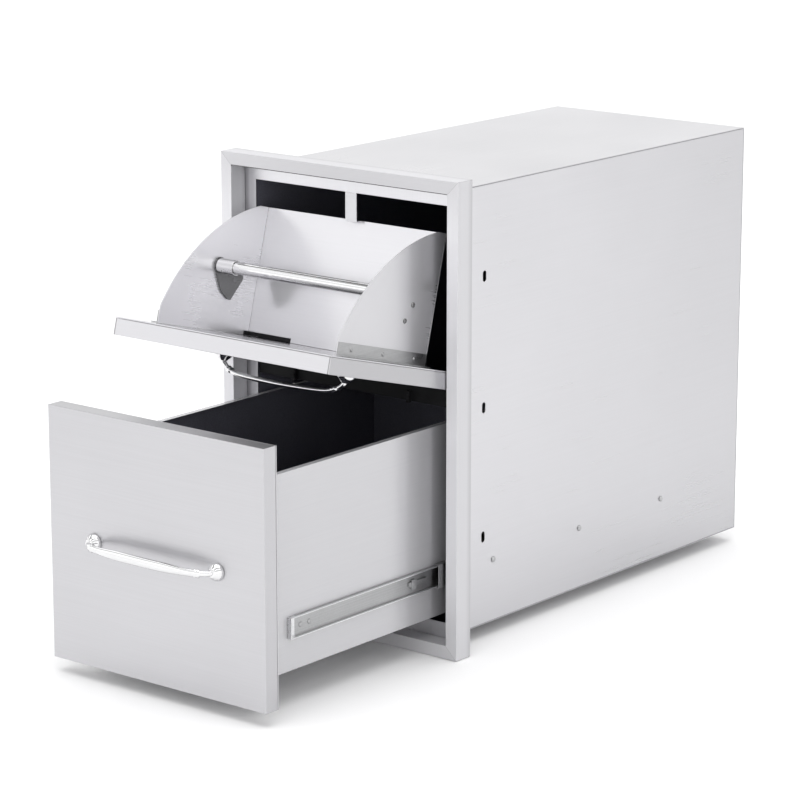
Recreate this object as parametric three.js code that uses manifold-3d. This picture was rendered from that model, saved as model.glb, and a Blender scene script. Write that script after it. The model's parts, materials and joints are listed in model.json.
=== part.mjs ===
// Flush-mount outdoor-kitchen unit: a pull-out waste drawer below a tilt-out paper-towel hopper.
// Millimetres. X right, Y back, Z up. The origin is the centre of the face frame's front plane.
// The unit is drawn with its drawer part-way out and its hopper tilted fully open.
import * as THREE from 'three';
import { mergeVertices } from 'three/addons/utils/BufferGeometryUtils.js';
import Module from 'manifold-3d';

const wasm = await Module();
wasm.setup();

// ---- Sheet and running gaps ----
const SHEET = 1.2;
const SKIN = 1.5;
const GAP = 0.3;

// ---- Face frame ----
const FRAME_W = 381;
const FRAME_H = 600;
const FRAME_BORDER = 17;
const FRAME_DEPTH = 28.2;
const OPEN_X = FRAME_W / 2 - FRAME_BORDER;
const OPEN_Z = FRAME_H / 2 - FRAME_BORDER;
const LIP_X = 155.7;
const LIP_Z = 263.7;
const SEAT = 0.3;

// ---- Cabinet ----
const CAB_X = 157.2;
const CAB_Z = 282;
const CAB_Y0 = FRAME_DEPTH;
const CAB_Y1 = 674.5;
const SLOT_Y = 96.5;
const SLOT_ZS = [-167, 0, 167];
const SLOT_W = 7;
const SLOT_H = 14;

// ---- Front panels and the bumpers that the door shuts on ----
const LIP_BUMPER_Z = 160;
const PANEL_X = OPEN_X - 0.9;
const PANEL_T = 22.4;
const DRAWER_TOP = 36;
const DRAWER_BOTTOM = -OPEN_Z + 0.8;
const DOOR_BOTTOM = 40;
const DOOR_TOP = OPEN_Z - 1.8;

// ---- Hopper (drawn upright, then tilted) ----
const PIVOT_Y = 6.6;
const PIVOT_Z = 48.2;
const PIN_R = 3;
const HOPPER_TILT = THREE.MathUtils.degToRad(75);
const HOPPER_X = 144;
const HOPPER_FLOOR_Z = 65.5;
const HOPPER_BACK_Y = 187.5;
const HOPPER_TOP_Z = 237.2;
const ARC_Y = -44.6;
const ARC_Z = 11.8;
const ARC_R = 242.2;
const NOTCH_IN_X = 72;
const NOTCH_Y = 5.5;
const NOTCH_Z = 9;
const TAB_W = 18;

// ---- Towel bar and its brackets ----
const BAR_Y = 104.7;
const BAR_Z = 141.7;
const BAR_R = 8;
const SLEEVE_LEN = 26;
const BRACKET_RIVETS = [[95.2, 108.2], [74.7, 118.9]];

// ---- Drawer ----
const DRAWER_OUT = 335;
const BOX_X = 143;
const BOX_Y0 = PANEL_T + GAP;
const BOX_Y1 = 580;
const BOX_TOP = -10.7;
const BOX_BOTTOM = -255;

// ---- Ball-bearing slides ----
const SLIDE_Z = -201;
const SLIDE_Y0 = 72;
const SLIDE_LEN = 500;
const MID_Y0 = 182;
const MID_LEN = 380;
const SCREW_YS = [118, 303, 490];

// ---- Arch handles ----
const HANDLE_HALF = 99;
const DRAWER_HANDLE_Z = (DRAWER_TOP + DRAWER_BOTTOM) / 2;
const DOOR_HANDLE_Z = 156;

const steel = { color: 0xcfd1d4, roughness: 0.32, metalness: 1.0 };
const bright = { color: 0xdfe1e4, roughness: 0.16, metalness: 1.0 };
const zinc = { color: 0xb3b6ba, roughness: 0.38, metalness: 1.0 };
const black = { color: 0x15161a, roughness: 0.6, metalness: 0.1 };
const rubber = { color: 0x1c1c1e, roughness: 0.85, metalness: 0.0 };

// ---- Solid helpers ----
function toSolid(geometry) {
  const bare = geometry.index ? geometry.toNonIndexed() : geometry.clone();
  bare.deleteAttribute('normal');
  bare.deleteAttribute('uv');
  const welded = mergeVertices(bare, 1e-4);
  return new wasm.Manifold(new wasm.Mesh({
    numProp: 3,
    vertProperties: new Float32Array(welded.attributes.position.array),
    triVerts: new Uint32Array(welded.index.array),
  }));
}

function toGeometry(solid) {
  const mesh = solid.getMesh();
  const geometry = new THREE.BufferGeometry();
  geometry.setAttribute('position', new THREE.BufferAttribute(Float32Array.from(mesh.vertProperties), 3));
  geometry.setIndex(new THREE.BufferAttribute(Uint32Array.from(mesh.triVerts), 1));
  geometry.computeVertexNormals();
  return geometry;
}

function block(x0, x1, y0, y1, z0, z1) {
  const box = new THREE.BoxGeometry(x1 - x0, y1 - y0, z1 - z0);
  box.translate((x0 + x1) / 2, (y0 + y1) / 2, (z0 + z1) / 2);
  return toSolid(box);
}

function rodX(radius, x0, x1, y, z, segments = 20) {
  const rod = new THREE.CylinderGeometry(radius, radius, x1 - x0, segments);
  rod.rotateZ(Math.PI / 2);
  rod.translate((x0 + x1) / 2, y, z);
  return toSolid(rod);
}

function discY(radius, y0, y1, x, z, segments = 20) {
  const disc = new THREE.CylinderGeometry(radius, radius, y1 - y0, segments);
  disc.translate(x, (y0 + y1) / 2, z);
  return toSolid(disc);
}

// A domed rivet head standing off a plane of constant x, pointing away from the centre line.
function rivetX(side, x, y, z, radius = 3, height = 1.4, segments = 14) {
  const profile = [];
  profile.push(new THREE.Vector2(0, 0));
  profile.push(new THREE.Vector2(radius, 0));
  profile.push(new THREE.Vector2(radius * 0.86, height * 0.6));
  profile.push(new THREE.Vector2(radius * 0.5, height * 0.93));
  profile.push(new THREE.Vector2(0, height));
  const head = new THREE.LatheGeometry(profile, segments);
  head.rotateZ(-side * Math.PI / 2);
  head.translate(side * x, y, z);
  return toSolid(head);
}

// A plate of constant thickness in x, outlined by a shape drawn in the YZ plane.
function plateX(x0, x1, outline, curveSegments = 24) {
  const geometry = new THREE.ExtrudeGeometry(outline, { depth: x1 - x0, bevelEnabled: false, curveSegments });
  const frame = new THREE.Matrix4();
  frame.makeBasis(new THREE.Vector3(0, 1, 0), new THREE.Vector3(0, 0, 1), new THREE.Vector3(1, 0, 0));
  geometry.applyMatrix4(frame);
  geometry.translate(x0, 0, 0);
  return toSolid(geometry);
}

function outline(points) {
  const shape = new THREE.Shape();
  shape.moveTo(points[0][0], points[0][1]);
  for (const [y, z] of points.slice(1)) {
    shape.lineTo(y, z);
  }
  shape.closePath();
  return shape;
}

// Span on the given side of the centre line, low x first.
function spanX(side, near, far) {
  return side > 0 ? [near, far] : [-far, -near];
}

function sideBlock(side, near, far, y0, y1, z0, z1) {
  const [x0, x1] = spanX(side, near, far);
  return block(x0, x1, y0, y1, z0, z1);
}

function sideRod(side, radius, near, far, y, z, segments) {
  const [x0, x1] = spanX(side, near, far);
  return rodX(radius, x0, x1, y, z, segments);
}

const group = new THREE.Group();
group.name = 'waste_drawer_with_towel_hopper';

const atRest = new THREE.Matrix4();
const drawerOut = new THREE.Matrix4().makeTranslation(0, -DRAWER_OUT, 0);
const midOut = new THREE.Matrix4().makeTranslation(0, -DRAWER_OUT / 2, 0);
const hopperOpen = new THREE.Matrix4()
  .makeTranslation(0, PIVOT_Y, PIVOT_Z)
  .multiply(new THREE.Matrix4().makeRotationX(HOPPER_TILT))
  .multiply(new THREE.Matrix4().makeTranslation(0, -PIVOT_Y, -PIVOT_Z));

function add(name, solid, look, pose = atRest) {
  const geometry = toGeometry(solid);
  geometry.applyMatrix4(pose);
  const mesh = new THREE.Mesh(geometry, new THREE.MeshStandardMaterial({ ...look, flatShading: true }));
  mesh.name = name;
  group.add(mesh);
}

// ---- Face frame: channel ring, open at the back, closed by a separate stepped plate ----
function makeFrame() {
  const outer = block(-FRAME_W / 2, FRAME_W / 2, 0, FRAME_DEPTH, -FRAME_H / 2, FRAME_H / 2);
  const opening = block(-OPEN_X, OPEN_X, -1, FRAME_DEPTH + 1, -OPEN_Z, OPEN_Z);
  const channelOuter = block(
    -FRAME_W / 2 + SKIN, FRAME_W / 2 - SKIN, SKIN, FRAME_DEPTH + 1, -FRAME_H / 2 + SKIN, FRAME_H / 2 - SKIN,
  );
  const channelInner = block(-OPEN_X - SKIN, OPEN_X + SKIN, -1, FRAME_DEPTH + 2, -OPEN_Z - SKIN, OPEN_Z + SKIN);
  const backStep = block(
    -OPEN_X - SKIN - 2, OPEN_X + SKIN + 2, FRAME_DEPTH - SKIN - GAP, FRAME_DEPTH + 1,
    -OPEN_Z - SKIN - 2, OPEN_Z + SKIN + 2,
  );
  let ring = outer.subtract(opening).subtract(channelOuter.subtract(channelInner)).subtract(backStep);
  for (const side of [-1, 1]) {
    ring = ring.subtract(sideRod(side, PIN_R + GAP, OPEN_X - 2, OPEN_X + SKIN + 2, PIVOT_Y, PIVOT_Z));
  }
  add('face_frame', ring, steel);

  const plateOuter = block(
    -FRAME_W / 2 + SKIN + GAP, FRAME_W / 2 - SKIN - GAP, FRAME_DEPTH - SKIN, FRAME_DEPTH,
    -FRAME_H / 2 + SKIN + GAP, FRAME_H / 2 - SKIN - GAP,
  );
  const plateHole = block(-LIP_X, LIP_X, 0, FRAME_DEPTH + 10, -LIP_Z, LIP_Z);
  const seatX = CAB_X + GAP;
  const seatZ = CAB_Z + GAP;
  const sleeveSeat = block(-seatX, seatX, FRAME_DEPTH - SEAT, FRAME_DEPTH + 1, -seatZ, seatZ);
  add('frame_back_plate', plateOuter.subtract(plateHole).subtract(sleeveSeat), steel);

  for (const side of [-1, 1]) {
    const bumper = discY(5, PANEL_T + GAP, FRAME_DEPTH - SKIN - GAP, side * 165, LIP_BUMPER_Z, 20);
    add(side < 0 ? 'lip_bumper_left' : 'lip_bumper_right', bumper, rubber);
    const shank = sideRod(side, PIN_R, OPEN_X - 18, OPEN_X + SKIN + GAP + 2.5, PIVOT_Y, PIVOT_Z);
    const head = sideRod(side, PIN_R + 2, OPEN_X + SKIN + GAP, OPEN_X + SKIN + GAP + 2.5, PIVOT_Y, PIVOT_Z);
    add(side < 0 ? 'pivot_pin_left' : 'pivot_pin_right', shank.add(head), zinc);
  }
}

// ---- Cabinet sleeve behind the frame ----
function makeCabinet() {
  for (const side of [-1, 1]) {
    let wall = sideBlock(side, CAB_X - SHEET, CAB_X, CAB_Y0, CAB_Y1 - SHEET - GAP, -CAB_Z + SHEET + GAP,
      CAB_Z - SHEET - GAP);
    for (const z of SLOT_ZS) {
      const half = (SLOT_H - SLOT_W) / 2;
      const ends = [z - half, z + half].map((c) => sideRod(side, SLOT_W / 2, CAB_X - 3, CAB_X + 1, SLOT_Y, c));
      const waist = sideBlock(side, CAB_X - 3, CAB_X + 1, SLOT_Y - SLOT_W / 2, SLOT_Y + SLOT_W / 2, z - half, z + half);
      wall = wall.subtract(ends[0]).subtract(ends[1]).subtract(waist);
    }
    for (const y of SCREW_YS) {
      wall = wall.subtract(sideRod(side, 2.3, CAB_X - 3, CAB_X + 1, y, SLIDE_Z));
    }
    add(side < 0 ? 'cabinet_side_left' : 'cabinet_side_right', wall, steel);
  }
  const lid = block(-CAB_X, CAB_X, CAB_Y0, CAB_Y1, CAB_Z - SHEET, CAB_Z);
  add('cabinet_top', lid, steel);
  const base = block(-CAB_X, CAB_X, CAB_Y0, CAB_Y1, -CAB_Z, -CAB_Z + SHEET);
  add('cabinet_bottom', base, steel);
  const back = block(-CAB_X, CAB_X, CAB_Y1 - SHEET, CAB_Y1, -CAB_Z + SHEET + GAP, CAB_Z - SHEET - GAP);
  add('cabinet_back', back, steel);

  const railWeb = block(-LIP_X, LIP_X, 30, 31.5, 12, 34);
  const railTop = block(-LIP_X, LIP_X, 30, 46, 32.5, 34);
  const railFoot = block(-LIP_X, LIP_X, 30, 46, 12, 13.5);
  add('cross_rail', railWeb.add(railTop).add(railFoot), black);

  for (const side of [-1, 1]) {
    const pad = sideBlock(side, 91, 95.6, 24.6, 29.7, 10.5, 25.5);
    const button = discY(2.2, 23.2, 26, side * 93.3, 18, 16);
    add(side < 0 ? 'rail_bumper_left' : 'rail_bumper_right', pad.add(button), rubber);
  }
}

// ---- Three-member slides ----
function channel(side, webNear, webFar, lipTo, halfHeight, y0, y1) {
  const web = sideBlock(side, webNear, webFar, y0, y1, SLIDE_Z - halfHeight, SLIDE_Z + halfHeight);
  const near = Math.min(webNear, lipTo);
  const far = Math.max(webFar, lipTo);
  const top = sideBlock(side, near, far, y0, y1, SLIDE_Z + halfHeight - SHEET, SLIDE_Z + halfHeight);
  const foot = sideBlock(side, near, far, y0, y1, SLIDE_Z - halfHeight, SLIDE_Z - halfHeight + SHEET);
  return web.add(top).add(foot);
}

function makeSlides() {
  const wallIn = CAB_X - SHEET;
  for (const side of [-1, 1]) {
    const tag = side < 0 ? 'left' : 'right';
    const slideEnd = SLIDE_Y0 + SLIDE_LEN;
    let fixed = channel(side, wallIn - GAP - SHEET, wallIn - GAP, 150.2, 19, SLIDE_Y0, slideEnd);
    for (const y of SCREW_YS) {
      fixed = fixed.add(sideRod(side, 2, wallIn - GAP - SHEET / 2, CAB_X + GAP + 0.5, y, SLIDE_Z));
      fixed = fixed.add(rivetX(side, CAB_X + GAP, y, SLIDE_Z, 4, 1.8));
    }
    const stop = sideBlock(side, 150.2, wallIn - GAP - SHEET / 2, slideEnd - 4, slideEnd - 2, SLIDE_Z - 5, SLIDE_Z + 5);
    add(`slide_outer_${tag}`, fixed.add(stop), zinc);

    const mid = channel(side, 150.5, 151.7, 145.5, 15.5, MID_Y0, MID_Y0 + MID_LEN);
    add(`slide_mid_${tag}`, mid, zinc, midOut);

    let inner = channel(side, BOX_X + GAP, BOX_X + GAP + SHEET, 149.5, 13.25, SLIDE_Y0, slideEnd);
    const noseCap = sideBlock(side, BOX_X + GAP, 149.5, SLIDE_Y0, SLIDE_Y0 + 2, SLIDE_Z - 13.25, SLIDE_Z + 13.25);
    inner = inner.add(noseCap);
    for (const y of [SLIDE_Y0 + 22, SLIDE_Y0 + 38]) {
      inner = inner.add(rivetX(side, BOX_X + GAP + SHEET - 0.2, y, SLIDE_Z, 3.4, 1.8));
    }
    add(`slide_inner_${tag}`, inner, zinc, drawerOut);

    const leverY = SLIDE_Y0 + 225;
    const lever = sideBlock(side, 144.9, 147.2, leverY, leverY + 34, SLIDE_Z - 2.5, SLIDE_Z + 3.5);
    const thumb = sideBlock(side, 144.9, 148.4, leverY + 4, leverY + 12, SLIDE_Z - 6, SLIDE_Z + 6);
    add(`slide_lever_${tag}`, lever.add(thumb), zinc, drawerOut);
  }
}

// ---- Double-skin front panel: folded outer pan and flat inner cover ----
function makePan(z0, z1) {
  const shell = block(-PANEL_X, PANEL_X, 0, PANEL_T - SKIN - GAP, z0, z1);
  const hollow = block(-PANEL_X + SKIN, PANEL_X - SKIN, SKIN, PANEL_T + 1, z0 + SKIN, z1 - SKIN);
  return shell.subtract(hollow);
}

function makeCover(z0, z1) {
  return block(-PANEL_X, PANEL_X, PANEL_T - SKIN, PANEL_T, z0, z1);
}

// ---- Arch handle: flat oval bar with ring collars, standing on two turned bosses ----
function loft(stations, segments) {
  const positions = [];
  const index = [];
  for (const s of stations) {
    for (let i = 0; i < segments; i += 1) {
      const a = (i / segments) * Math.PI * 2;
      const n = Math.cos(a) * s.thick;
      const h = Math.sin(a) * s.tall;
      positions.push(s.x + s.nx * n, s.y + s.ny * n, s.z + h);
    }
  }
  const rows = stations.length;
  for (let r = 0; r < rows - 1; r += 1) {
    for (let i = 0; i < segments; i += 1) {
      const a = r * segments + i;
      const b = r * segments + ((i + 1) % segments);
      index.push(a, b, a + segments, b, b + segments, a + segments);
    }
  }
  const first = positions.length / 3;
  positions.push(stations[0].x, stations[0].y, stations[0].z);
  const last = first + 1;
  positions.push(stations[rows - 1].x, stations[rows - 1].y, stations[rows - 1].z);
  for (let i = 0; i < segments; i += 1) {
    const j = (i + 1) % segments;
    index.push(first, j, i);
    index.push(last, (rows - 1) * segments + i, (rows - 1) * segments + j);
  }
  const geometry = new THREE.BufferGeometry();
  geometry.setAttribute('position', new THREE.Float32BufferAttribute(positions, 3));
  geometry.setIndex(index);
  return toSolid(geometry);
}

function makeHandle(z) {
  const rise = [[99, 6], [98, 11], [94.5, 15.2], [89, 18.8], [82, 21.8], [72, 24], [56, 25.4], [28, 26.4], [0, 26.8]];
  const left = rise.map(([x, out]) => new THREE.Vector3(-x, -out, z));
  const right = rise.slice(0, -1).reverse().map(([x, out]) => new THREE.Vector3(x, -out, z));
  const path = new THREE.CatmullRomCurve3([...left, ...right], false, 'centripetal');
  const stations = [];
  const count = 56;
  for (let i = 0; i <= count; i += 1) {
    const t = i / count;
    const p = path.getPointAt(t);
    const tangent = path.getTangentAt(t);
    const fromEnd = Math.min(t, 1 - t) * path.getLength();
    const swell = THREE.MathUtils.smoothstep(fromEnd, 24, 75);
    let tall = fromEnd < 18.5 ? 3.4 : 4.4 + 1.8 * swell;
    let thick = 3 + 0.4 * swell;
    if (fromEnd > 18.5 && fromEnd < 24.5) {
      tall = 5.5;
      thick = 4.2;
    }
    stations.push({ x: p.x, y: p.y, z: p.z, nx: -tangent.y, ny: tangent.x, tall, thick });
  }
  let handle = loft(stations, 14);
  for (const side of [-1, 1]) {
    const profile = [[0, 0.3], [11, 0.3], [11.2, 2], [10.6, 4.4], [9, 6.8], [6.8, 9], [5, 11], [0, 12]].map(
      ([r, out]) => new THREE.Vector2(r, out),
    );
    const foot = new THREE.LatheGeometry(profile, 24);
    foot.rotateX(Math.PI);
    foot.translate(side * HANDLE_HALF, 0, z);
    handle = handle.add(toSolid(foot));
  }
  return handle;
}

// ---- Waste drawer ----
function makeDrawer() {
  add('drawer_front_skin', makePan(DRAWER_BOTTOM, DRAWER_TOP), steel, drawerOut);
  add('drawer_front_cover', makeCover(DRAWER_BOTTOM, DRAWER_TOP), steel, drawerOut);
  add('drawer_handle', makeHandle(DRAWER_HANDLE_Z), bright, drawerOut);

  for (const side of [-1, 1]) {
    const tag = side < 0 ? 'left' : 'right';
    const wall = sideBlock(side, BOX_X - SHEET, BOX_X, BOX_Y0, BOX_Y1, BOX_BOTTOM, BOX_TOP);
    const rim = sideBlock(side, BOX_X - 8, BOX_X, BOX_Y0, BOX_Y1, BOX_TOP - SHEET, BOX_TOP);
    const ledge = sideBlock(side, BOX_X - 8, BOX_X, BOX_Y0, BOX_Y1, BOX_BOTTOM, BOX_BOTTOM + SHEET);
    add(`drawer_side_${tag}`, wall.add(rim).add(ledge), steel, drawerOut);
  }
  const inX = BOX_X - SHEET - GAP;
  const floorZ = BOX_BOTTOM + SHEET + GAP;
  const floor = block(-inX, inX, BOX_Y0 + SHEET + GAP, BOX_Y1 - GAP, floorZ, floorZ + SHEET);
  add('drawer_bottom', floor, steel, drawerOut);
  const back = block(-BOX_X, BOX_X, BOX_Y1 + GAP, BOX_Y1 + GAP + SHEET, BOX_BOTTOM, BOX_TOP);
  const backRim = block(-BOX_X, BOX_X, BOX_Y1 + GAP, BOX_Y1 + GAP + 8, BOX_TOP - SHEET, BOX_TOP);
  add('drawer_back', back.add(backRim), steel, drawerOut);

  for (const side of [-1, 1]) {
    for (const [level, z] of [['top', DRAWER_TOP - 62], ['bottom', DRAWER_BOTTOM + 30]]) {
      const bumper = discY(5, PANEL_T + GAP, PANEL_T + 4, side * 164, z, 20);
      add(`drawer_bumper_${level}_${side < 0 ? 'left' : 'right'}`, bumper, rubber, drawerOut);
    }
  }
}

// ---- Tilt-out hopper ----
function makeHopperSide(side) {
  const shape = new THREE.Shape();
  const rearAngle = Math.acos((HOPPER_BACK_Y - ARC_Y) / ARC_R);
  const topAngle = Math.asin((HOPPER_TOP_Z - ARC_Z) / ARC_R);
  const baseZ = HOPPER_FLOOR_Z + GAP;
  const frontY = PANEL_T + GAP;
  shape.moveTo(frontY + NOTCH_Y, baseZ);
  shape.lineTo(HOPPER_BACK_Y, baseZ);
  shape.absarc(ARC_Y, ARC_Z, ARC_R, rearAngle, topAngle, false);
  shape.lineTo(frontY, HOPPER_TOP_Z);
  shape.lineTo(frontY, baseZ + NOTCH_Z);
  shape.lineTo(frontY + NOTCH_Y, baseZ + NOTCH_Z);
  shape.closePath();
  const [x0, x1] = spanX(side, HOPPER_X - SHEET, HOPPER_X);
  let plate = plateX(x0, x1, shape, 48);
  for (const [y, z] of BRACKET_RIVETS) {
    plate = plate.subtract(sideRod(side, 2.3, HOPPER_X - 3, HOPPER_X + 1, y, z, 14));
  }
  return plate;
}

// A black rubber block that closes the notches in the floor's and the side plate's front corner.
function makeNotchPad(side) {
  const y0 = PANEL_T + 2 * GAP;
  const y1 = PANEL_T + NOTCH_Y;
  const z0 = HOPPER_FLOOR_Z - 4;
  const strip = sideBlock(side, NOTCH_IN_X + GAP, HOPPER_X, y0, y1, z0, HOPPER_FLOOR_Z + 1);
  return strip.add(sideBlock(side, HOPPER_X - 3, HOPPER_X, y0, y1, z0, HOPPER_FLOOR_Z + NOTCH_Z));
}

function makeSideAngle(side) {
  const x0 = HOPPER_X + GAP;
  const y0 = PANEL_T + GAP;
  const z0 = HOPPER_FLOOR_Z + 1;
  const upright = sideBlock(side, x0, x0 + SHEET, y0, y0 + 16, z0, HOPPER_TOP_Z);
  const foot = sideBlock(side, x0, x0 + 10, y0, y0 + SHEET, z0, HOPPER_TOP_Z);
  let angle = upright.add(foot);
  for (const z of [90, 152, 213]) {
    angle = angle.add(rivetX(side, x0 + SHEET - 0.2, y0 + 8.5, z, 2.6, 1.5));
  }
  return angle;
}

function makeBarBracket(side) {
  const cap = 10.5;
  const shape = new THREE.Shape();
  shape.moveTo(97, 97);
  shape.lineTo(101.5, 103);
  shape.lineTo(BAR_Y + cap * Math.cos(-0.3), BAR_Z + cap * Math.sin(-0.3));
  shape.absarc(BAR_Y, BAR_Z, cap, -0.3, 2.5, false);
  shape.lineTo(74, 133.5);
  shape.quadraticCurveTo(62, 117, 64, 113);
  shape.lineTo(90, 96.5);
  shape.quadraticCurveTo(94, 94.5, 97, 97);
  const x1 = HOPPER_X - SHEET - GAP;
  const [xa, xb] = spanX(side, x1 - 2.5, x1);
  let bracket = plateX(xa, xb, shape, 12);
  bracket = bracket.subtract(sideRod(side, BAR_R + GAP, x1 - 5, x1 + 2, BAR_Y, BAR_Z, 28));
  for (const [y, z] of BRACKET_RIVETS) {
    bracket = bracket.add(sideRod(side, 2, x1 - 1, HOPPER_X + GAP + 0.5, y, z, 14));
    bracket = bracket.add(rivetX(side, HOPPER_X + GAP, y, z, 3.2, 1.6));
  }
  return bracket;
}

// Point of the tilted hopper expressed in its upright drawing position.
function upright(y, z) {
  const c = Math.cos(HOPPER_TILT);
  const s = Math.sin(HOPPER_TILT);
  const dy = y - PIVOT_Y;
  const dz = z - PIVOT_Z;
  return [PIVOT_Y + dy * c + dz * s, PIVOT_Z - dy * s + dz * c];
}

function makeHopperFloor() {
  const y0 = PANEL_T + GAP;
  const z0 = HOPPER_FLOOR_Z - SHEET;
  let floor = block(-HOPPER_X, HOPPER_X, y0, HOPPER_BACK_Y, z0, HOPPER_FLOOR_Z);
  for (const side of [-1, 1]) {
    floor = floor.subtract(sideBlock(side, NOTCH_IN_X, HOPPER_X + 1, y0 - 1, y0 + NOTCH_Y, z0 - 1, HOPPER_FLOOR_Z + 1));
  }
  const flange = block(-NOTCH_IN_X, NOTCH_IN_X, y0, y0 + SHEET, z0 - 13, HOPPER_FLOOR_Z);
  floor = floor.add(flange);
  const front = FRAME_DEPTH - SEAT + GAP;
  const tab = outline([
    upright(front, 226.4), upright(37, 226.4), upright(37, 227.6), upright(front + SHEET, 227.6),
    upright(front + SHEET, 274), upright(front, 274),
  ]);
  floor = floor.add(plateX(-TAB_W / 2, TAB_W / 2, tab));
  return floor;
}

function makeHopper() {
  let pan = makePan(DOOR_BOTTOM, DOOR_TOP);
  for (const side of [-1, 1]) {
    pan = pan.subtract(sideRod(side, PIN_R + GAP, PANEL_X - 3, PANEL_X + 1, PIVOT_Y, PIVOT_Z));
  }
  add('door_skin', pan, steel, hopperOpen);
  add('door_cover', makeCover(DOOR_BOTTOM, DOOR_TOP), steel, hopperOpen);
  add('door_handle', makeHandle(DOOR_HANDLE_Z), bright, hopperOpen);
  add('hopper_floor', makeHopperFloor(), steel, hopperOpen);
  for (const side of [-1, 1]) {
    const tag = side < 0 ? 'left' : 'right';
    add(`hopper_side_${tag}`, makeHopperSide(side), steel, hopperOpen);
    add(`notch_pad_${tag}`, makeNotchPad(side), rubber, hopperOpen);
    add(`side_angle_${tag}`, makeSideAngle(side), zinc, hopperOpen);
    add(`bar_bracket_${tag}`, makeBarBracket(side), zinc, hopperOpen);
  }

  const barEnd = HOPPER_X - SHEET - 2 * GAP;
  const tube = rodX(BAR_R, -barEnd, barEnd, BAR_Y, BAR_Z, 32);
  const bore = rodX(BAR_R - SHEET, -barEnd - 1, barEnd + 1, BAR_Y, BAR_Z, 32);
  add('towel_bar', tube.subtract(bore), bright, hopperOpen);
  for (const side of [-1, 1]) {
    const x1 = HOPPER_X - SHEET - 2 * GAP - 2.5 - GAP;
    const sleeve = sideRod(side, BAR_R + 1.7, x1 - SLEEVE_LEN, x1, BAR_Y, BAR_Z, 32);
    const hole = sideRod(side, BAR_R + GAP, x1 - SLEEVE_LEN - 1, x1 + 1, BAR_Y, BAR_Z, 32);
    add(side < 0 ? 'bar_sleeve_left' : 'bar_sleeve_right', sleeve.subtract(hole), bright, hopperOpen);
  }
}

makeFrame();
makeCabinet();
makeSlides();
makeDrawer();
makeHopper();

export default group;
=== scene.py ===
"""Looks for a flush-mount waste drawer with a tilt-out paper-towel hopper, in brushed stainless steel."""
import json
import math

import bmesh
import bpy
from mathutils import Matrix, Vector

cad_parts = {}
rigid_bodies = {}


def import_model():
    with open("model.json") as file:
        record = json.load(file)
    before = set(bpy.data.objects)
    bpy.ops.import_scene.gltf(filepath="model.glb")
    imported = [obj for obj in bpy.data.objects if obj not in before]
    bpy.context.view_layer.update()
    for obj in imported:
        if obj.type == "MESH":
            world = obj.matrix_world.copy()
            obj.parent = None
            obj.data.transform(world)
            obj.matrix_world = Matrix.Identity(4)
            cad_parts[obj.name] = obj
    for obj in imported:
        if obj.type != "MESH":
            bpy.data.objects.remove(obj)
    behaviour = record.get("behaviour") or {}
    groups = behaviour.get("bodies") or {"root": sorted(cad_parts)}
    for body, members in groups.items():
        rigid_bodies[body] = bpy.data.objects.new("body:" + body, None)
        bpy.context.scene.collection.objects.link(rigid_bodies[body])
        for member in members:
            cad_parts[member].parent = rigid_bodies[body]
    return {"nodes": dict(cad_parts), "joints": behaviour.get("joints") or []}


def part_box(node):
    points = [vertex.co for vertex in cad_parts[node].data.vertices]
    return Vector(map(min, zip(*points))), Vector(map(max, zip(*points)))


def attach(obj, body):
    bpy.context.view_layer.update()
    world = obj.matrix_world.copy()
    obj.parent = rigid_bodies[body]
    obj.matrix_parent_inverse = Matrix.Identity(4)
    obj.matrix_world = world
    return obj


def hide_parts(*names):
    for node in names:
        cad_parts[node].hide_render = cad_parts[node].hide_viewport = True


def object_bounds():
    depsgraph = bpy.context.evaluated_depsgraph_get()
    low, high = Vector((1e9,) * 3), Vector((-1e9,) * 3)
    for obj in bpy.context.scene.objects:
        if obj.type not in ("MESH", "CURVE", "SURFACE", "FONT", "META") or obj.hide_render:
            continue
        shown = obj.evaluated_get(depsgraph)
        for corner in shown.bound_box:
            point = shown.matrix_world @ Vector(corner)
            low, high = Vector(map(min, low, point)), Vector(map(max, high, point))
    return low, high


for leftover in list(bpy.data.objects):
    bpy.data.objects.remove(leftover)

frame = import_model()
cad_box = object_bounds()
NODES = frame["nodes"]
hinge = next(j for j in frame["joints"] if j["name"] == "hopper_hinge")
pivot = Vector(hinge["pos_m"])
# How far the hopper stands open at rest, in radians.
TILT = -math.radians(hinge["range_deg"][0])

# ---- Camera: the photograph's station point, in metres from the centre of the frame's front plane ----
CAMERA_AT = (2.5371, -3.0113, 0.9574)
CAMERA_AZ = 38.97
CAMERA_EL = 13.61
CAMERA_LENS = 145.76
SENSOR_WIDTH = 36
FAR_CLIP = 100

cam_data = bpy.data.cameras.new("camera")
cam_data.lens = CAMERA_LENS
cam_data.sensor_width = SENSOR_WIDTH
cam_data.clip_end = FAR_CLIP
camera = bpy.data.objects.new("camera", cam_data)
camera.location = CAMERA_AT
camera.rotation_euler = (math.radians(90 - CAMERA_EL), 0, math.radians(CAMERA_AZ))
bpy.context.scene.collection.objects.link(camera)
bpy.context.scene.camera = camera
bpy.context.scene.view_settings.view_transform = "Standard"

# ---- Places on the part that the materials mark, in metres ----
FRAME_HALF_WIDTH = 0.1905
FRAME_HALF_HEIGHT = 0.3
# Half the width of the mitre seam at the frame's corners, and of its outer edges.
MITRE_HALF = 0.0003
# Painted shadow line along the lower edge of the frame's head: height, half its width, and reach from the
# middle.
HEAD_SHADOW_Z = 0.2832
HEAD_SHADOW_HALF = 0.0009
HEAD_SHADOW_REACH = 0.1735
# Painted shade line on the folded corner of the door: distance from the middle, and half the line's width.
DOOR_SHADE_LINE_X = 0.1709
DOOR_SHADE_LINE_HALF = 0.0007
# Where the inner slides' rolled lips and nose begin, which are painted lighter as a highlight.
SLIDE_LIP_X = 0.1466
SLIDE_NOSE_Y = -0.2515

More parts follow.
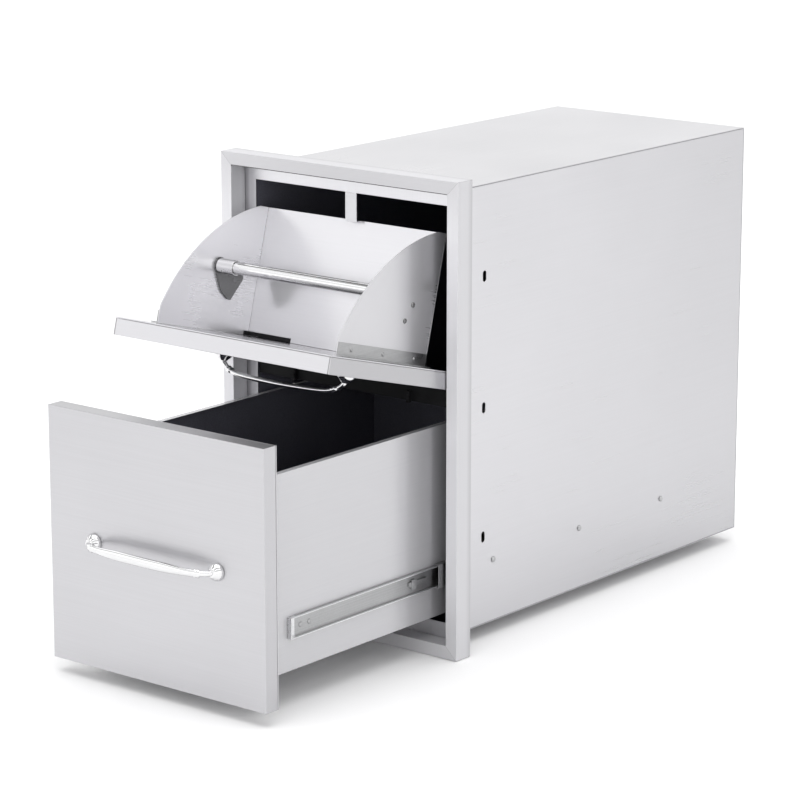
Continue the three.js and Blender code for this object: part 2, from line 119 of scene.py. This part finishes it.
# ---- Marks: the share by which each changes the tone ----
MITRE_SHADE = -0.35
# Painted shadow line under the frame's head.
HEAD_SHADOW_DARKEN = -0.85
# Painted shade on the door's folded corner.
DOOR_SHADE_LINE_DARKEN = -0.55
# Painted highlight on the inner slides' lips and nose.
LIP_PAINTED_HIGHLIGHT = 0.75
# Painted light on the frame's uprights, making them lighter: the first share up to the first height, fading
# to the second.
UPRIGHT_LIGHT_HEIGHTS = (0.2, 0.285)
UPRIGHT_PAINTED_LIGHT = (0.36, 0.08)

# ---- Grain, as noise frequencies per metre along and across it, and tints as colour factors ----
FINE_GRAIN = (9, 1500)
STREAKS = (5, 620)
FINE_SHARE = 0.45
STREAK_SHARE = 0.55
STEEL_TINT = (0.99, 0.984, 1.014)
# Tint of the near-black painted shade inside the sleeve and the drawer box.
INSIDE_SHADE_TINT = (1.0, 1.0, 1.22)
BRIGHT_TINT = (1.0, 1.0, 1.006)
ZINC_TINT = (0.985, 0.99, 1.0)
BLACK_TINT = (1.0, 1.0, 1.08)
# Low and high ends of the noise that the materials use.
NOISE_LOW = 0.3
NOISE_HIGH = 0.7


# ---- Node helpers ----
class Graph:
    """A small wrapper that makes shader nodes and links them in one call."""

    def __init__(self, tree):
        self.tree = tree
        tree.nodes.clear()

    def node(self, kind, inputs=None, **settings):
        made = self.tree.nodes.new(kind)
        for key, value in settings.items():
            setattr(made, key, value)
        for key, value in (inputs or {}).items():
            socket = made.inputs[key]
            if isinstance(value, bpy.types.NodeSocket):
                self.tree.links.new(value, socket)
            else:
                socket.default_value = value
        return made

    def math(self, operation, a, b=0.0):
        return self.node("ShaderNodeMath", {0: a, 1: b}, operation=operation).outputs[0]

    def times(self, a, b):
        return self.math("MULTIPLY", a, b)

    def size_of(self, value):
        return self.math("ABSOLUTE", value)

    def near(self, value, at, half):
        """1 where value is within half of at, else 0."""
        return self.math("LESS_THAN", self.size_of(self.math("SUBTRACT", value, at)), half)

    def changed(self, light, mask, change):
        """light, raised by the share change where mask is 1."""
        return self.times(light, self.math("ADD", 1.0, self.times(mask, change)))

    def remap(self, value, low, high, to_low, to_high):
        return self.node("ShaderNodeMapRange", {
            "Value": value, "From Min": low, "From Max": high, "To Min": to_low, "To Max": to_high,
        }).outputs["Result"]

    def spread(self, noise, to_low, to_high):
        """The noise's usual range, mapped to to_low..to_high."""
        return self.remap(noise, NOISE_LOW, NOISE_HIGH, to_low, to_high)

    def noise(self, coords, scale, detail=2.0, roughness=0.5):
        stretched = self.node("ShaderNodeMapping", {"Vector": coords, "Scale": scale}).outputs[0]
        return self.node("ShaderNodeTexNoise", {
            "Vector": stretched, "Scale": 1.0, "Detail": detail, "Roughness": roughness,
        }).outputs[0]

    def even_noise(self, coords, scale, detail, roughness):
        return self.noise(coords, (scale, scale, scale), detail, roughness)

    def apart(self, vector):
        """The vector's three parts."""
        return self.node("ShaderNodeSeparateXYZ", {0: vector}).outputs

    def tinted(self, light, tint):
        return self.node("ShaderNodeCombineColor", {
            i: self.times(light, part) for i, part in enumerate(tint)
        }).outputs[0]

    def bump(self, height, strength, distance):
        return self.node("ShaderNodeBump", {
            "Strength": strength, "Distance": distance, "Height": height,
        }).outputs[0]

    def shader(self, **inputs):
        """A Principled shader; an input's name has its words joined with _."""
        named = {key.replace("_", " "): value for key, value in inputs.items()}
        return self.node("ShaderNodeBsdfPrincipled", named).outputs[0]


def start_material(name):
    """A new material, its graph, and its coordinates' outputs."""
    mat = bpy.data.materials.new(name)
    mat.use_nodes = True
    g = Graph(mat.node_tree)
    return mat, g, g.node("ShaderNodeTexCoord").outputs


def stretch(axis, along, across):
    """Noise frequencies per metre: low along the grain, high across it."""
    return tuple(along if name == axis else across for name in "XYZ")


def facing(g, square, axis, above=0.7):
    """1 on faces square to axis: a plain letter takes both sides, and a sign takes one."""
    along = square["XYZ".index(axis[-1])]
    if axis[0] in "+-":
        along = g.times(along, 1.0 if axis[0] == "+" else -1.0)
    else:
        along = g.size_of(along)
    return g.math("GREATER_THAN", along, above)


def frame_marks(g, light, spot, jamb, across, up):
    """The face frame's mitre seams, painted light on its uprights, and a painted shadow line under its head.
    """
    light = g.changed(light, g.near(across, up, MITRE_HALF), MITRE_SHADE)
    front = g.math("LESS_THAN", g.math("MAXIMUM", across, up), -MITRE_HALF)
    # Painted light on the uprights' front faces.
    painted_lift = g.times(front, g.remap(g.size_of(spot[2]), *UPRIGHT_LIGHT_HEIGHTS, *UPRIGHT_PAINTED_LIGHT))
    light = g.changed(light, jamb, painted_lift)
    # Painted shadow line under the frame's head.
    line = g.near(spot[2], HEAD_SHADOW_Z, HEAD_SHADOW_HALF)
    line = g.times(line, g.math("LESS_THAN", g.size_of(spot[0]), HEAD_SHADOW_REACH))
    return g.changed(light, line, HEAD_SHADOW_DARKEN)


def brushed(name, grain, base=0.575, rough=0.3, contrast=0.5, metal=1.0, turn=0.0, shaded_inside=None, mitre=False,
            faces=None, painted_light_drift=None, shade_line_x=None):
    """Brushed sheet steel.

    grain is the brushing axis. turn is how far, in radians about X, the sheet is turned from its drawing
    position. shaded_inside is the signed axis of the faces painted near-black, as shade inside. mitre gives
    the face frame its seams, painted light on its uprights and a painted shadow line under its head. faces
    scales the tone of faces square to an axis, as painted light and shade. painted_light_drift changes the
    tone slowly along axes, as painted light and shade, each as (axis, start, end, tone at start, tone at
    end), with X measured from the middle. shade_line_x paints a dark shade line on the folded corner of a
    front panel at that distance from the middle.
    """
    mat, g, coords = start_material(name)
    place = coords["Object"]
    spot = g.apart(place)
    square = g.apart(coords["Normal"])
    rolled = place
    if turn:
        rolled = g.node("ShaderNodeMapping", {"Vector": place, "Rotation": (-turn, 0.0, 0.0)}).outputs[0]
    fine = g.noise(rolled, stretch(grain, *FINE_GRAIN), 3.0, 0.6)
    streak = g.noise(rolled, stretch(grain, *STREAKS), 2.0, 0.55)
    if mitre:
        across = g.math("SUBTRACT", g.size_of(spot[0]), FRAME_HALF_WIDTH)
        up = g.math("SUBTRACT", g.size_of(spot[2]), FRAME_HALF_HEIGHT)
        jamb = g.math("GREATER_THAN", across, up)
        fine_z = g.noise(place, stretch("Z", *FINE_GRAIN), 3.0, 0.6)
        streak_z = g.noise(place, stretch("Z", *STREAKS), 2.0, 0.55)
        fine = g.node("ShaderNodeMix", {0: jamb, 2: fine, 3: fine_z}).outputs[0]
        streak = g.node("ShaderNodeMix", {0: jamb, 2: streak, 3: streak_z}).outputs[0]
    cloud = g.even_noise(place, 5, 3.0, 0.5)
    grainy = g.math("ADD", g.times(fine, FINE_SHARE), g.times(streak, STREAK_SHARE))
    light = g.spread(grainy, base * (1 - 0.045 * contrast), base * (1 + 0.03 * contrast))
    light = g.times(light, g.spread(cloud, 0.985, 1.015))
    if mitre:
        light = frame_marks(g, light, spot, jamb, across, up)
    # Painted light and shade: faces square to an axis made lighter or darker.
    for axis, factor in (faces or {}).items():
        light = g.changed(light, facing(g, square, axis), factor - 1.0)
    # Painted light and shade: the tone ramps lighter or darker along an axis.
    for axis, start, end, tone_start, tone_end in painted_light_drift or ():
        along = g.size_of(spot[0]) if axis == "X" else spot["XYZ".index(axis)]
        light = g.times(light, g.remap(along, start, end, tone_start, tone_end))
    # Painted shade line along a front panel's folded corner.
    if shade_line_x:
        light = g.changed(light, g.near(g.size_of(spot[0]), shade_line_x, DOOR_SHADE_LINE_HALF), DOOR_SHADE_LINE_DARKEN)
    shine = g.remap(streak, 0.25, 0.75, rough - 0.04 * contrast, rough + 0.04 * contrast)
    shine = g.math("ADD", shine, g.spread(cloud, -0.02, 0.02))
    surface = g.shader(Base_Color=g.tinted(light, STEEL_TINT), Metallic=metal, Roughness=shine,
                       Normal=g.bump(grainy, 0.05 * contrast, 0.00006))
    # Inner faces painted near-black, as shade.
    if shaded_inside:
        inside = facing(g, square, shaded_inside, above=0.5)
        surface = g.node("ShaderNodeMixShader", {0: inside, 1: surface, 2: painted_inside_shade(g, place)}).outputs[0]
    g.node("ShaderNodeOutputMaterial", {"Surface": surface})
    return mat


def painted_inside_shade(g, place):
    """Near-black painted shade for the dark inside of the sleeve and the drawer box, matt with a faint
    pebble.
    """
    pebble = g.even_noise(place, 700, 3.0, 0.6)
    patch = g.even_noise(place, 7, 2.0, 0.5)
    shade = g.times(g.spread(pebble, 0.095, 0.13), g.spread(patch, 0.9, 1.1))
    return g.shader(Base_Color=g.tinted(shade, INSIDE_SHADE_TINT), Roughness=g.spread(patch, 0.5, 0.62),
                    Normal=g.bump(pebble, 0.25, 0.0002), Specular_IOR_Level=0.08)


def polished(name, base=0.76, rough=0.08):
    """Bright drawn steel for handles and the towel bar, with faint polishing marks."""
    mat, g, coords = start_material(name)
    place = coords["Object"]
    drawn = g.noise(place, (14, 900, 900), 2.0, 0.5)
    smear = g.even_noise(place, 40, 3.0, 0.55)
    light = g.times(g.spread(drawn, base * 0.985, base * 1.01), g.spread(smear, 0.985, 1.01))
    shine = g.math("ADD", g.spread(smear, rough - 0.02, rough + 0.03), g.spread(drawn, -0.012, 0.012))
    surface = g.shader(Base_Color=g.tinted(light, BRIGHT_TINT), Metallic=1.0, Roughness=shine,
                       Normal=g.bump(drawn, 0.05, 0.00003))
    g.node("ShaderNodeOutputMaterial", {"Surface": surface})
    return mat


def zinc_plate(name, base=0.44, rough=0.33, lips=False):
    """Zinc-plated rolled steel, with rolling lines along the slide and a mild spangle.

    lips gives an inner slide a painted highlight on its rolled lips and nose.
    """
    mat, g, coords = start_material(name)
    place = coords["Object"]
    rolled = g.noise(place, (700, 5, 700), 2.0, 0.5)
    spangle = g.node("ShaderNodeTexVoronoi", {"Vector": place, "Scale": 420.0}).outputs["Distance"]
    cloud = g.even_noise(place, 16, 3.0, 0.55)
    light = g.spread(rolled, base * 0.93, base * 1.06)
    light = g.times(light, g.remap(spangle, 0.0, 0.9, 1.03, 0.95))
    light = g.times(light, g.spread(cloud, 0.94, 1.05))
    # Painted highlight: the inner slide's lips and nose made lighter.
    if lips:
        spot = g.apart(place)
        lip = g.math("GREATER_THAN", g.size_of(spot[0]), SLIDE_LIP_X)
        nose = g.math("LESS_THAN", spot[1], SLIDE_NOSE_Y)
        light = g.changed(light, g.math("MAXIMUM", lip, nose), LIP_PAINTED_HIGHLIGHT)
    surface = g.shader(Base_Color=g.tinted(light, ZINC_TINT), Metallic=1.0,
                       Roughness=g.spread(cloud, rough - 0.06, rough + 0.06),
                       Normal=g.bump(rolled, 0.12, 0.00008))
    g.node("ShaderNodeOutputMaterial", {"Surface": surface})
    return mat


def moulded(name, shade, rough):
    """Moulded rubber, or near-black painted shade for the cross rail; finely pebbled and slightly dusty."""
    mat, g, coords = start_material(name)
    place = coords["Object"]
    pebble = g.even_noise(place, 1300, 3.0, 0.6)
    dust = g.even_noise(place, 60, 4.0, 0.6)
    light = g.times(g.spread(pebble, shade * 0.8, shade * 1.2), g.remap(dust, 0.35, 0.7, 0.9, 1.35))
    surface = g.shader(Base_Color=g.tinted(light, BLACK_TINT), Specular_IOR_Level=0.12,
                       Roughness=g.spread(dust, rough - 0.06, rough + 0.06),
                       Normal=g.bump(pebble, 0.3, 0.00015))
    g.node("ShaderNodeOutputMaterial", {"Surface": surface})
    return mat


BRIGHT = polished("bright_steel_polished")
ZINC = zinc_plate("slide_zinc_plate")
INNER_ZINC = zinc_plate("slide_inner_zinc_plate", base=0.42, lips=True)
ANGLE_ZINC = zinc_plate("angle_zinc_plate", base=0.39)
# A much darker copy of the zinc, as painted shade on the towel-bar brackets.
BRACKET_SHADED_ZINC = zinc_plate("bracket_shaded_zinc", base=0.2, rough=0.25)
# The cross rail's near-black is painted shade, like the dark inside.
RAIL_SHADE_BLACK = moulded("rail_painted_shade", 0.010, 0.55)
RUBBER = moulded("rubber_black_pad", 0.014, 0.7)

# Painted light and shade on the sleeve's sides: darker towards the back, lighter towards the top.
SLEEVE_PAINTED_LIGHT = (("Y", 0.03, 0.67, 1.05, 0.94), ("Z", -0.28, 0.28, 0.99, 1.05))
BOX_SIDE = {"base": 0.53, "rough": 0.2, "metal": 0.35}
HOPPER_PLATE = {"rough": 0.28, "contrast": 0.1, "metal": 0.6, "turn": TILT}
# Base tones differ from part to part of the same steel, as painted light and shade: the back plate and hopper
# floor lighter, the sleeve's top darker.
LOOKS = {
    # Face frame: painted shade on the jambs' faces deeper in, with its seams, painted light on the uprights
    # and a painted shadow line under the head. Back plate: painted shade towards its sides, where it meets
    # the jambs.
    "face_frame": brushed("steel_frame", "X", base=0.56, rough=0.5, metal=0.25, mitre=True,
                          painted_light_drift=(("Y", 0.019, 0.028, 1.0, 0.8),)),
    "frame_back_plate": brushed("steel_back_plate", "Z", base=0.73, rough=0.35,
                                painted_light_drift=(("X", 0.1655, 0.1705, 1.0, 0.7),)),
    "cabinet_side_left": brushed("steel_side_left", "Y", shaded_inside="+X", painted_light_drift=SLEEVE_PAINTED_LIGHT),
    "cabinet_side_right": brushed("steel_side_right", "Y", shaded_inside="-X", painted_light_drift=SLEEVE_PAINTED_LIGHT),
    "cabinet_top": brushed("steel_top", "Y", base=0.47, shaded_inside="-Z"),
    "cabinet_bottom": brushed("steel_bottom", "Y", shaded_inside="+Z"),
    "cabinet_back": brushed("steel_back", "X", shaded_inside="-Y"),
    "drawer_side_left": brushed("steel_box_left", "Y", shaded_inside="+X", **BOX_SIDE),
    "drawer_side_right": brushed("steel_box_right", "Y", shaded_inside="-X", **BOX_SIDE),
    "drawer_bottom": brushed("steel_box_bottom", "Y", base=0.52, shaded_inside="+Z"),
    "drawer_back": brushed("steel_box_back", "X", base=0.52, shaded_inside="-Y"),
    # Drawer front and its cover: painted shade on their top and bottom faces, and on the front skin's side
    # faces.
    "drawer_front_skin": brushed("steel_drawer_front", "X", base=0.56, rough=0.34, contrast=0.8,
                                 faces={"Z": 0.74, "X": 0.93}),
    "drawer_front_cover": brushed("steel_drawer_cover", "X", base=0.54, faces={"Z": 0.74}),
    # Door front: painted shade on its side faces and a painted shade line on its folded corner.
    "door_skin": brushed("steel_door_front", "X", base=0.58, turn=TILT, faces={"X": 0.78},
                         shade_line_x=DOOR_SHADE_LINE_X),
    "door_cover": brushed("steel_door_cover", "X", rough=0.14, turn=TILT),
    "hopper_floor": brushed("steel_hopper_floor", "X", base=0.71, rough=0.22, metal=0.6, turn=TILT),
    # Hopper sides: their inner faces painted half as light again.
    "hopper_side_left": brushed("steel_hopper_left", "Z", base=0.6, faces={"+X": 1.5}, **HOPPER_PLATE),
    "hopper_side_right": brushed("steel_hopper_right", "Z", base=0.58, faces={"-X": 1.5}, **HOPPER_PLATE),
    "cross_rail": RAIL_SHADE_BLACK,
}


def look_for(name):
    if name in LOOKS:
        return LOOKS[name]
    if "handle" in name or name.startswith(("towel", "bar_sleeve")):
        return BRIGHT
    if "bumper" in name or "pad" in name:
        return RUBBER
    if name.startswith("slide_inner"):
        return INNER_ZINC
    if name.startswith("side_angle"):
        return ANGLE_ZINC
    if name.startswith("bar_bracket"):
        return BRACKET_SHADED_ZINC
    return ZINC


# ---- Edges: CAD solids get their material and a small bevel ----
WELD_DISTANCE = 0.00001
BEVEL_WIDTH = 0.00025
BEVEL_WIDTHS = {
    "face_frame": 0.0006, "frame_back_plate": 0.0003, "cabinet_top": 0.0005, "cabinet_bottom": 0.0005,
    "cabinet_back": 0.0004, "drawer_front_skin": 0.0006, "door_skin": 0.0006,
}
BEVEL_ANGLE = math.radians(32)

for name, node in NODES.items():
    node.data.materials.clear()
    node.data.materials.append(look_for(name))
    weld = node.modifiers.new("weld", "WELD")
    weld.merge_threshold = WELD_DISTANCE
    bevel = node.modifiers.new("bevel", "BEVEL")
    bevel.width = BEVEL_WIDTHS.get(name, BEVEL_WIDTH)
    bevel.segments = 2
    bevel.limit_method = "ANGLE"
    bevel.angle_limit = BEVEL_ANGLE
    bevel.harden_normals = True

# ---- Arch handles, finer than their CAD solids, in metres ----
HANDLE_HALF = 0.099
DOOR_HANDLE_Z = 0.156
HANDLE_GAP = 0.0003
# Half of the arch: distance from the middle, and height off the panel.
ARCH = ((0.099, 0.006), (0.098, 0.011), (0.0945, 0.0152), (0.089, 0.0188), (0.082, 0.0218), (0.072, 0.024),
        (0.056, 0.0254), (0.028, 0.0264), (0.0, 0.0268))
# A turned foot: radius, and height off the panel.
FOOT = ((0.0109, HANDLE_GAP), (0.0111, 0.0008), (0.0112, 0.002), (0.011, 0.0032), (0.0106, 0.0044),
        (0.0099, 0.0057), (0.009, 0.0068), (0.0079, 0.008), (0.0068, 0.009), (0.0058, 0.0101), (0.005, 0.011))
# Where the collar and the swell lie along the bar from each foot.
COLLAR_START = 0.0185
COLLAR_END = 0.0245
SWELL_START = 0.024
SWELL_END = 0.075
# Half heights and half thicknesses of the bar's cross-section.
NECK_TALL = 0.0034
BAR_TALL = 0.0044
BAR_THICK = 0.003
SWELL_TALL = 0.0018
SWELL_THICK = 0.0004
COLLAR_TALL = 0.0052
COLLAR_THICK = 0.0039
RIB_PITCH = 0.002
RIB_HEIGHT = 0.0003
# How finely the path, the bar and the feet are divided.
SPAN_STEPS = 24
BAR_STEPS = 150
BAR_SIDES = 28
FOOT_SIDES = 48


def smooth_path(points, count):
    """Evenly spaced points on a uniform Catmull-Rom curve through points, and the curve's length."""
    pts = [Vector(p) for p in points]
    pts = [pts[0] * 2 - pts[1], *pts, pts[-1] * 2 - pts[-2]]
    fine = []
    for i in range(1, len(pts) - 2):
        p0, p1, p2, p3 = pts[i - 1:i + 3]
        for step in range(SPAN_STEPS):
            t = step / SPAN_STEPS
            fine.append(0.5 * (2 * p1 + (p2 - p0) * t + (2 * p0 - 5 * p1 + 4 * p2 - p3) * t * t
                               + (3 * p1 - p0 - 3 * p2 + p3) * t ** 3))
    fine.append(pts[-2])
    run = [0.0]
    for a, b in zip(fine, fine[1:]):
        run.append(run[-1] + (b - a).length)
    out = []
    k = 0
    for i in range(count + 1):
        want = run[-1] * i / count
        while k < len(run) - 2 and run[k + 1] < want:
            k += 1
        share = (want - run[k]) / max(1e-9, run[k + 1] - run[k])
        out.append(fine[k].lerp(fine[k + 1], min(1.0, share)))
    return out, run[-1]


def ease(value, low, high):
    """0 below low, 1 above high, and a smooth step between."""
    t = min(1.0, max(0.0, (value - low) / (high - low)))
    return t * t * (3 - 2 * t)


def circle(count):
    return [math.tau * k / count for k in range(count)]


def ring_faces(bm, rings):
    """Faces between each ring of vertices and the next, with both ends closed."""
    for lower, upper in zip(rings, rings[1:]):
        for i in range(len(lower)):
            j = (i + 1) % len(lower)
            bm.faces.new((lower[i], lower[j], upper[j], upper[i]))
    bm.faces.new(list(reversed(rings[0])))
    bm.faces.new(rings[-1])


def bar_section(reach):
    """Half height and half thickness of the bar at reach from the nearer foot, along the bar."""
    if COLLAR_START < reach < COLLAR_END:
        rib = RIB_HEIGHT * math.cos((reach - COLLAR_START) / RIB_PITCH * math.tau)
        return COLLAR_TALL + rib, COLLAR_THICK + rib
    swell = ease(reach, SWELL_START, SWELL_END)
    tall = NECK_TALL if reach < COLLAR_START else BAR_TALL + SWELL_TALL * swell
    return tall, BAR_THICK + SWELL_THICK * swell


def arch_handle(name, node, body, place):
    """Turned feet, a ribbed collar at each end and a flat oval bar that swells to the middle."""
    bm = bmesh.new()
    half = [(x, -out, 0.0) for x, out in ARCH]
    path, length = smooth_path([(-x, y, z) for x, y, z in half] + half[-2::-1], BAR_STEPS)
    last = len(path) - 1
    rings = []
    for i, point in enumerate(path):
        along = (path[min(i + 1, last)] - path[max(i - 1, 0)]).normalized()
        outward = Vector((-along.y, along.x, 0))
        tall, thick = bar_section(min(i, last - i) * length / last)
        rings.append([bm.verts.new(point + outward * math.cos(a) * thick + Vector((0, 0, math.sin(a) * tall)))
                      for a in circle(BAR_SIDES)])
    ring_faces(bm, rings)
    for side in (-1, 1):
        turned = [[bm.verts.new((side * HANDLE_HALF + r * math.cos(a), -out, r * math.sin(a)))
                   for a in circle(FOOT_SIDES)] for r, out in FOOT]
        ring_faces(bm, turned)
    bmesh.ops.recalc_face_normals(bm, faces=bm.faces)
    mesh = bpy.data.meshes.new(name)
    bm.to_mesh(mesh)
    bm.free()
    for face in mesh.polygons:
        face.use_smooth = len(face.vertices) == 4
    mesh.materials.append(BRIGHT)
    handle = bpy.data.objects.new(name, mesh)
    bpy.context.scene.collection.objects.link(handle)
    mesh.transform(place)
    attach(handle, body)
    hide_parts(node)


tilted = Matrix.Translation(pivot) @ Matrix.Rotation(TILT, 4, "X") @ Matrix.Translation(-pivot)
low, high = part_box("drawer_handle")
arch_handle("drawer_handle_bow", "drawer_handle", "drawer",
            Matrix.Translation((0, high.y + HANDLE_GAP, (low.z + high.z) / 2)))
arch_handle("door_handle_bow", "door_handle", "hopper", tilted @ Matrix.Translation((0, 0, DOOR_HANDLE_Z)))

# ---- Floor ----
FLOOR_DROP = 0.0006
FLOOR_RADIUS = 40
FLOOR_COLOUR = (0.92, 0.92, 0.92, 1)
FLOOR_ROUGHNESS = 0.9

plane = bmesh.new()
bmesh.ops.create_circle(plane, cap_ends=True, radius=FLOOR_RADIUS, segments=96)
floor_mesh = bpy.data.meshes.new("studio_floor")
plane.to_mesh(floor_mesh)
plane.free()
floor = bpy.data.objects.new("studio_floor", floor_mesh)
floor.location = (0, 0, cad_box[0].z - FLOOR_DROP)
bpy.context.scene.collection.objects.link(floor)
floor_mat = bpy.data.materials.new("pale_floor")
floor_mat.use_nodes = True
floor_shader = floor_mat.node_tree.nodes["Principled BSDF"]
floor_shader.inputs["Base Color"].default_value = FLOOR_COLOUR
floor_shader.inputs["Roughness"].default_value = FLOOR_ROUGHNESS
floor_mesh.materials.append(floor_mat)

# ---- Sky and light ----
# Sky brightness by height: 0 straight down, 0.5 the horizon, 1 straight up.
# Two dim bands give polished metal its lines.
SKY = ((0.0, 1.0), (0.52, 1.0), (0.64, 1.0), (0.70, 0.5), (0.76, 0.5), (0.80, 1.0), (0.855, 1.05),
       (0.872, 0.15), (0.905, 0.15), (0.92, 1.05))
SKY_BLUE = 1.004
SKY_STRENGTH = 1.5
LAMP_AT = Vector((0.3, -0.4, 3.2))
LAMP_SIDE = 3.4
LAMP_POWER = 40

world = bpy.data.worlds.new("studio")
world.use_nodes = True
bpy.context.scene.world = world
studio = Graph(world.node_tree)
heading = studio.apart(studio.node("ShaderNodeTexCoord").outputs["Generated"])
ramp = studio.node("ShaderNodeValToRGB", {0: studio.remap(heading[2], -1, 1, 0, 1)})
stops = ramp.color_ramp.elements
stops.remove(stops[1])
for i, (at, value) in enumerate(SKY):
    stop = stops[0] if i == 0 else stops.new(at)
    stop.position = at
    stop.color = (value, value, value * SKY_BLUE, 1)
sky = studio.node("ShaderNodeBackground", {"Color": ramp.outputs[0], "Strength": SKY_STRENGTH}).outputs[0]
studio.node("ShaderNodeOutputWorld", {"Surface": sky})

lamp_data = bpy.data.lights.new("top_box", "AREA")
lamp_data.shape = "RECTANGLE"
lamp_data.size = LAMP_SIDE
lamp_data.size_y = LAMP_SIDE
lamp_data.energy = LAMP_POWER
lamp = bpy.data.objects.new("top_box", lamp_data)
lamp.location = LAMP_AT
lamp.rotation_euler = (-LAMP_AT).to_track_quat("-Z", "Y").to_euler()
bpy.context.scene.collection.objects.link(lamp)
